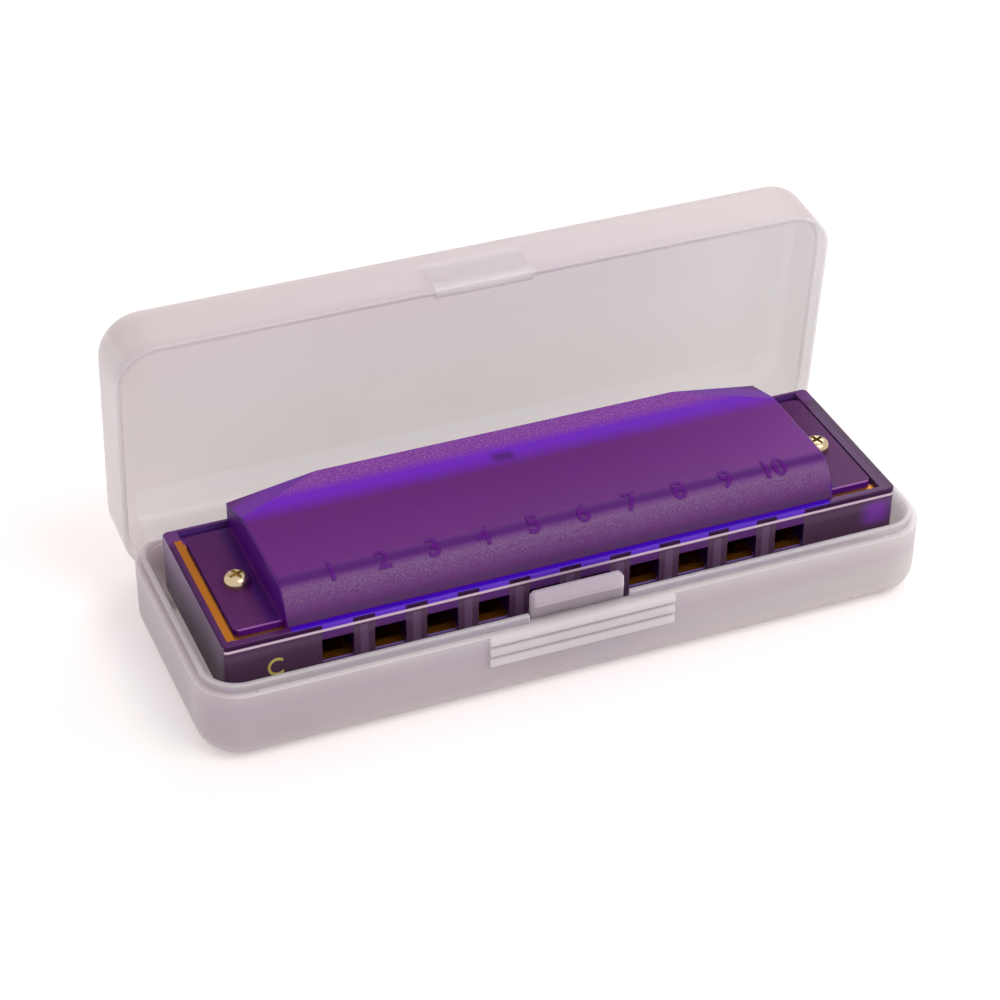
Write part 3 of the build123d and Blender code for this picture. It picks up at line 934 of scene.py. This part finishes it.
class AddNumbers(bpy.types.Operator):
    """Raised hole numbers on the front of the upper cover"""

    bl_idname = "harmonica_case.add_numbers"
    bl_label = "Hole numbers"

    def execute(self, context):
        size = sizes()
        plastic = grained_plastic(
            "Smooth purple plastic",
            tuple(colours().number),
            speck=1.3,
            grain=2600.0,
            bump=0.1,
            roughness=0.35,
            gloss=0.12,
        )
        middle = (HOLES + 1) / 2
        height = size.number_height
        for number in range(1, HOLES + 1):
            name = "hole_number_" + str(number)
            mesh = glyph_mesh(name, str(number), height, size.number_rise, NUMBER_WEIGHT)
            sliced(mesh, BEND_STEP, height)
            lay_on_cover(mesh, (number - middle) * size.number_pitch)
            piece = add_piece(name, mesh, "harmonica", plastic)
        return {"FINISHED"}


class AddKeyLetter(bpy.types.Operator):
    """Gold foil key letter on the front of the comb"""

    bl_idname = "harmonica_case.add_key_letter"
    bl_label = "Key letter"

    def execute(self, context):
        print_gold = tuple(colours().print_gold)
        gold = metal("Gold foil", print_gold, roughness=0.45, grain=2000.0, metallic=0.3)
        mesh = glyph_mesh("key_letter", "C", sizes().letter_height, FOIL_RISE, 0.0)
        mesh.transform(Matrix.Diagonal((LETTER_WIDTH, 1.0, 1.0, 1.0)))
        turn = Matrix.Rotation(math.radians(90), 4, "X")
        mesh.transform(Matrix.Translation(Vector(LETTER_PLACE) * MM) @ turn)
        piece = add_piece("key_letter", mesh, "harmonica", gold)
        return {"FINISHED"}


class AddStage(bpy.types.Operator):
    """Floor, light and camera"""

    bl_idname = "harmonica_case.add_stage"
    bl_label = "Stage"

    def execute(self, context):
        context.scene.view_settings.view_transform = "Standard"
        add_floor()
        add_world()
        for name, place, watts in LAMPS:
            add_lamp(name, place, watts)
        add_camera()
        return {"FINISHED"}


# Stage pieces
def seen_rays(tree):
    """1 for rays from the camera, in a mirror or through glass."""
    path = tree.nodes.new("ShaderNodeLightPath").outputs
    direct = math_node(tree, "MAXIMUM", path["Is Camera Ray"], path["Is Glossy Ray"])
    return math_node(tree, "MAXIMUM", direct, path["Is Transmission Ray"])


def add_floor():
    mesh = bpy.data.meshes.new("floor")
    half = FLOOR_HALF
    corners = [(-half, -half, 0), (half, -half, 0), (half, half, 0), (-half, half, 0)]
    mesh.from_pydata(corners, [], [(0, 1, 2, 3)])
    floor = bpy.data.objects.new("floor", mesh)
    bpy.context.scene.collection.objects.link(floor)
    material, tree, shader = new_material("Pale floor")
    shader.inputs["Base Color"].default_value = FLOOR_COLOUR
    shader.inputs["Roughness"].default_value = 0.9
    shader.inputs["Specular IOR Level"].default_value = 0.0
    shader.inputs["Emission Color"].default_value = (1.0, 1.0, 1.0, 1.0)
    lift = product(tree, seen_rays(tree), FLOOR_LIFT)
    tree.links.new(lift, shader.inputs["Emission Strength"])
    mesh.materials.append(material)


def add_world():
    world = bpy.data.worlds.new("Plain studio")
    world.use_nodes = True
    tree = world.node_tree
    tree.nodes.clear()
    output = tree.nodes.new("ShaderNodeOutputWorld")
    back = tree.nodes.new("ShaderNodeBackground")
    tree.links.new(back.outputs["Background"], output.inputs["Surface"])
    back.inputs["Color"].default_value = WORLD_COLOUR
    level = tree.nodes.new("ShaderNodeMapRange")
    level.inputs["To Min"].default_value = WORLD_LEVEL
    level.inputs["To Max"].default_value = 1.0
    tree.links.new(seen_rays(tree), level.inputs["Value"])
    tree.links.new(level.outputs["Result"], back.inputs["Strength"])
    bpy.context.scene.world = world


def add_lamp(name, place, watts):
    lamp = bpy.data.lights.new(name, "AREA")
    lamp.shape = "SQUARE"
    lamp.size = LAMP_SIZE
    lamp.energy = watts
    holder = bpy.data.objects.new(name, lamp)
    bpy.context.scene.collection.objects.link(holder)
    holder.location = place
    aim = Vector(LAMP_AIM) - Vector(place)
    holder.rotation_euler = aim.to_track_quat("-Z", "Y").to_euler()


def add_camera():
    azimuth = math.radians(CAMERA_AZIMUTH)
    elevation = math.radians(CAMERA_ELEVATION)
    roll = math.radians(CAMERA_ROLL)
    level = math.cos(elevation)
    ahead = Vector((math.sin(azimuth) * level, math.cos(azimuth) * level, -math.sin(elevation)))
    side = Vector((math.cos(azimuth), -math.sin(azimuth), 0))
    top = side.cross(ahead)
    right = side * math.cos(roll) + top * math.sin(roll)
    up = top * math.cos(roll) - side * math.sin(roll)
    data = bpy.data.cameras.new("Photo camera")
    data.lens = CAMERA_LENS
    data.sensor_width = CAMERA_SENSOR
    data.shift_x, data.shift_y = CAMERA_SHIFT
    data.clip_start = CAMERA_NEAR
    camera = bpy.data.objects.new("Photo camera", data)
    bpy.context.scene.collection.objects.link(camera)
    turn = Matrix((right, up, -ahead)).transposed().to_4x4()
    camera.matrix_world = Matrix.Translation(CAMERA_AT) @ turn
    bpy.context.scene.camera = camera


class HarmonicaCasePanel(bpy.types.Panel):
    """Lists the sizes, the colours and the steps"""

    bl_idname = "VIEW3D_PT_harmonica_case"
    bl_label = "Harmonica case"
    bl_space_type = "VIEW_3D"
    bl_region_type = "UI"
    bl_category = "Harmonica case"

    def draw(self, context):
        for group in (context.scene.harmonica_sizes, context.scene.harmonica_colours):
            for name in group.bl_rna.properties.keys():
                if name not in ("rna_type", "name"):
                    self.layout.prop(group, name)
        for step in STEPS:
            self.layout.operator(step.bl_idname)


STEPS = [
    AddStage,
    DressCase,
    DressCovers,
    DressComb,
    DressBrass,
    DressScrews,
    AddNumbers,
    AddKeyLetter,
]
GROUPS = [CaseSizes, CaseColours]


def register():
    for item in GROUPS + STEPS + [HarmonicaCasePanel]:
        bpy.utils.register_class(item)
    bpy.types.Scene.harmonica_sizes = bpy.props.PointerProperty(type=CaseSizes)
    bpy.types.Scene.harmonica_colours = bpy.props.PointerProperty(type=CaseColours)


def unregister():
    del bpy.types.Scene.harmonica_colours
    del bpy.types.Scene.harmonica_sizes
    for item in reversed(GROUPS + STEPS + [HarmonicaCasePanel]):
        bpy.utils.unregister_class(item)


def run_step(step):
    group, name = step.bl_idname.split(".")
    result = getattr(getattr(bpy.ops, group), name)()
    if result != {"FINISHED"}:
        raise RuntimeError(step.bl_label + " did not finish")


def main():
    register()
    for step in STEPS:
        run_step(step)


if __name__ == "__main__":
    main()
